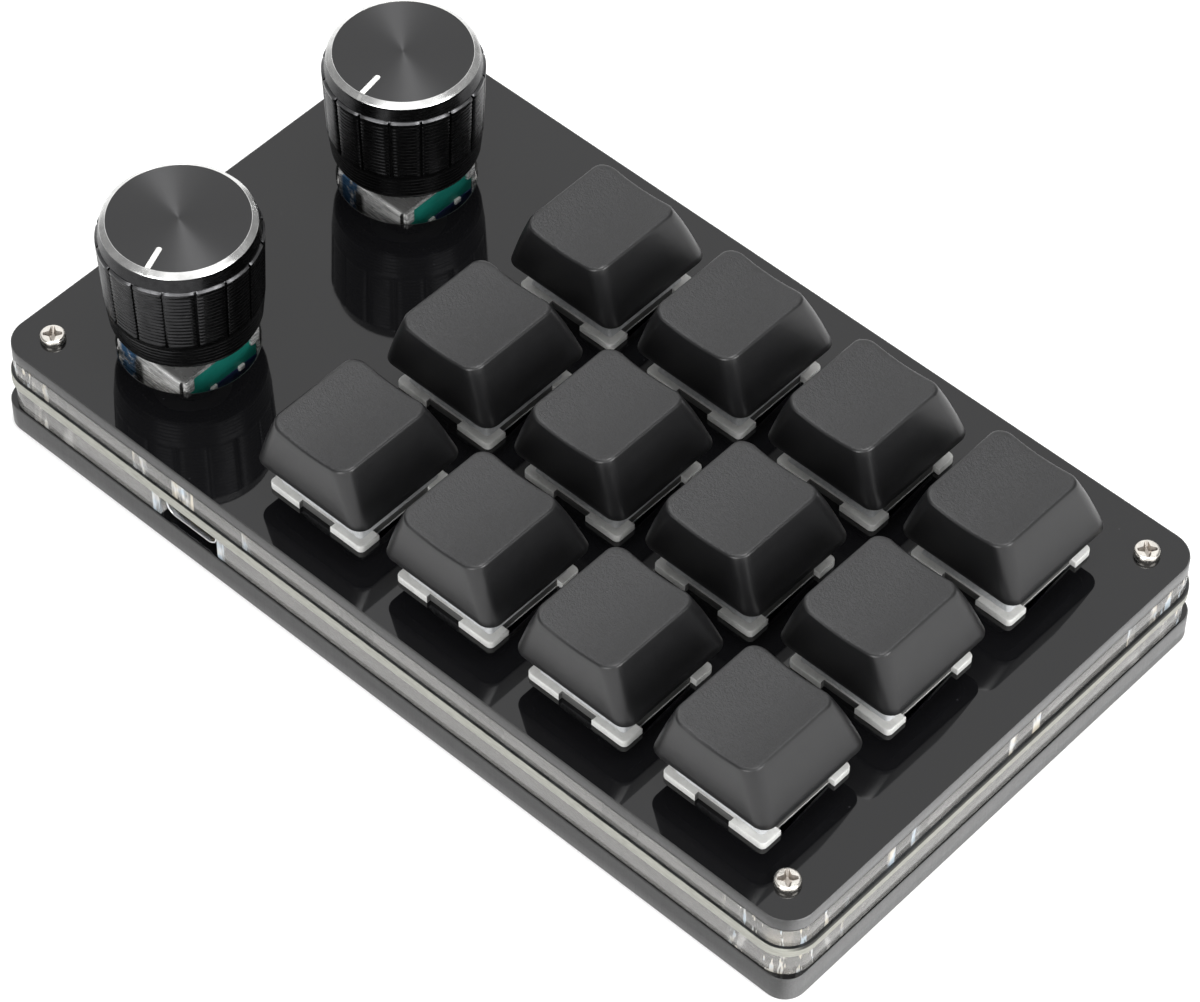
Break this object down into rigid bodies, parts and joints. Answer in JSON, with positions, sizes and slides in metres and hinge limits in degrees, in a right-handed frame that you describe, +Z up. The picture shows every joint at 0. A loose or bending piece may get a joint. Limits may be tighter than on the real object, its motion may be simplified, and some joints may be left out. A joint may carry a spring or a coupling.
{
  "type": "macro keypad with knobs",
  "caption": "Desktop keypad of stacked black and clear acrylic plates, with a block of sculpted keys beside two fluted push-and-turn knobs and a small socket in its rear edge.",
  "frame": {"origin": "centre of the underside of the bottom plate, at the middle of the bounding box", "axes": "+X along the length towards the two knobs, +Y towards the edge with the socket, +Z up through the keys"},
  "size_m": [0.1316, 0.0762, 0.0365],
  "materials": {
    "black_acrylic": "polished black acrylic sheet, laser-cut edges",
    "clear_acrylic": "clear acrylic sheet, laser-cut edges",
    "circuit_board": "glass-fibre board with a black solder mask, cream cut edge",
    "plated_steel": "nickel-plated steel",
    "white_housing": "milky white moulded plastic",
    "grey_housing": "pale translucent moulded plastic",
    "contact_brass": "plated brass strip",
    "black_plastic": "black moulded plastic",
    "chip_plastic": "moulded chip package with plated leads",
    "green_plastic": "teal-green moulded plastic",
    "keycap_plastic": "black moulded plastic, finely textured top",
    "stem_plastic": "low-friction moulded plastic",
    "spring_wire": "drawn spring wire",
    "anodised_aluminium": "black anodised turned aluminium with a bright-cut bevel",
    "core_plastic": "white moulded plastic",
    "shaft_metal": "plain turned aluminium",
    "rotor_plastic": "natural moulded plastic"
  },
  "bodies": {
    "case": {"bottom_plate": "black_acrylic", "lower_spacer": "clear_acrylic", "pcb": "circuit_board", "upper_spacer": "clear_acrylic", "top_plate": "black_acrylic", "corner_screws": "plated_steel", "corner_nuts": "plated_steel", "switch_bottoms": "white_housing", "switch_tops": "grey_housing", "switch_contacts": "contact_brass", "usb_shell": "plated_steel", "usb_tongue": "black_plastic", "microcontroller": "chip_plastic", "encoder_bases": "green_plastic", "encoder_brackets": "plated_steel", "encoder_terminals": "contact_brass", "spring_a1": "spring_wire", "spring_a2": "spring_wire", "spring_a3": "spring_wire", "spring_a4": "spring_wire", "spring_b1": "spring_wire", "spring_b2": "spring_wire", "spring_b3": "spring_wire", "spring_b4": "spring_wire", "spring_c1": "spring_wire", "spring_c2": "spring_wire", "spring_c3": "spring_wire", "spring_c4": "spring_wire"},
    "key_a1": {"keycap_a1": "keycap_plastic", "stem_a1": "stem_plastic"},
    "key_a2": {"keycap_a2": "keycap_plastic", "stem_a2": "stem_plastic"},
    "key_a3": {"keycap_a3": "keycap_plastic", "stem_a3": "stem_plastic"},
    "key_a4": {"keycap_a4": "keycap_plastic", "stem_a4": "stem_plastic"},
    "key_b1": {"keycap_b1": "keycap_plastic", "stem_b1": "stem_plastic"},
    "key_b2": {"keycap_b2": "keycap_plastic", "stem_b2": "stem_plastic"},
    "key_b3": {"keycap_b3": "keycap_plastic", "stem_b3": "stem_plastic"},
    "key_b4": {"keycap_b4": "keycap_plastic", "stem_b4": "stem_plastic"},
    "key_c1": {"keycap_c1": "keycap_plastic", "stem_c1": "stem_plastic"},
    "key_c2": {"keycap_c2": "keycap_plastic", "stem_c2": "stem_plastic"},
    "key_c3": {"keycap_c3": "keycap_plastic", "stem_c3": "stem_plastic"},
    "key_c4": {"keycap_c4": "keycap_plastic", "stem_c4": "stem_plastic"},
    "rotor_body_1": {"rotor_1": "rotor_plastic"},
    "dial_1": {"knob_1": "anodised_aluminium", "knob_core_1": "core_plastic", "shaft_1": "shaft_metal"},
    "rotor_body_2": {"rotor_2": "rotor_plastic"},
    "dial_2": {"knob_2": "anodised_aluminium", "knob_core_2": "core_plastic", "shaft_2": "shaft_metal"}
  },
  "joints": [
    {"name": "press_a1", "type": "slide", "parent": "case", "child": "key_a1", "axis": [0, 0, -1], "range_m": [0, 0.004], "stiffness_N_per_m": 62.5, "springref_m": -0.0056, "deforming": ["spring_a1"]},
    {"name": "press_a2", "type": "slide", "parent": "case", "child": "key_a2", "axis": [0, 0, -1], "range_m": [0, 0.004], "stiffness_N_per_m": 62.5, "springref_m": -0.0056, "deforming": ["spring_a2"]},
    {"name": "press_a3", "type": "slide", "parent": "case", "child": "key_a3", "axis": [0, 0, -1], "range_m": [0, 0.004], "stiffness_N_per_m": 62.5, "springref_m": -0.0056, "deforming": ["spring_a3"]},
    {"name": "press_a4", "type": "slide", "parent": "case", "child": "key_a4", "axis": [0, 0, -1], "range_m": [0, 0.004], "stiffness_N_per_m": 62.5, "springref_m": -0.0056, "deforming": ["spring_a4"]},
    {"name": "press_b1", "type": "slide", "parent": "case", "child": "key_b1", "axis": [0, 0, -1], "range_m": [0, 0.004], "stiffness_N_per_m": 62.5, "springref_m": -0.0056, "deforming": ["spring_b1"]},
    {"name": "press_b2", "type": "slide", "parent": "case", "child": "key_b2", "axis": [0, 0, -1], "range_m": [0, 0.004], "stiffness_N_per_m": 62.5, "springref_m": -0.0056, "deforming": ["spring_b2"]},
    {"name": "press_b3", "type": "slide", "parent": "case", "child": "key_b3", "axis": [0, 0, -1], "range_m": [0, 0.004], "stiffness_N_per_m": 62.5, "springref_m": -0.0056, "deforming": ["spring_b3"]},
    {"name": "press_b4", "type": "slide", "parent": "case", "child": "key_b4", "axis": [0, 0, -1], "range_m": [0, 0.004], "stiffness_N_per_m": 62.5, "springref_m": -0.0056, "deforming": ["spring_b4"]},
    {"name": "press_c1", "type": "slide", "parent": "case", "child": "key_c1", "axis": [0, 0, -1], "range_m": [0, 0.004], "stiffness_N_per_m": 62.5, "springref_m": -0.0056, "deforming": ["spring_c1"]},
    {"name": "press_c2", "type": "slide", "parent": "case", "child": "key_c2", "axis": [0, 0, -1], "range_m": [0, 0.004], "stiffness_N_per_m": 62.5, "springref_m": -0.0056, "deforming": ["spring_c2"]},
    {"name": "press_c3", "type": "slide", "parent": "case", "child": "key_c3", "axis": [0, 0, -1], "range_m": [0, 0.004], "stiffness_N_per_m": 62.5, "springref_m": -0.0056, "deforming": ["spring_c3"]},
    {"name": "press_c4", "type": "slide", "parent": "case", "child": "key_c4", "axis": [0, 0, -1], "range_m": [0, 0.004], "stiffness_N_per_m": 62.5, "springref_m": -0.0056, "deforming": ["spring_c4"]},
    {"name": "turn_1", "type": "hinge", "parent": "case", "child": "rotor_body_1", "pos_m": [0.0482, 0.0213, 0.0146], "axis": [0, 0, 1], "continuous": true},
    {"name": "push_1", "type": "slide", "parent": "rotor_body_1", "child": "dial_1", "axis": [0, 0, -1], "range_m": [0, 0.0005], "stiffness_N_per_m": 4000, "springref_m": -0.0005},
    {"name": "turn_2", "type": "hinge", "parent": "case", "child": "rotor_body_2", "pos_m": [0.0482, -0.0177, 0.0146], "axis": [0, 0, 1], "continuous": true},
    {"name": "push_2", "type": "slide", "parent": "rotor_body_2", "child": "dial_2", "axis": [0, 0, -1], "range_m": [0, 0.0005], "stiffness_N_per_m": 4000, "springref_m": -0.0005}
  ]
}
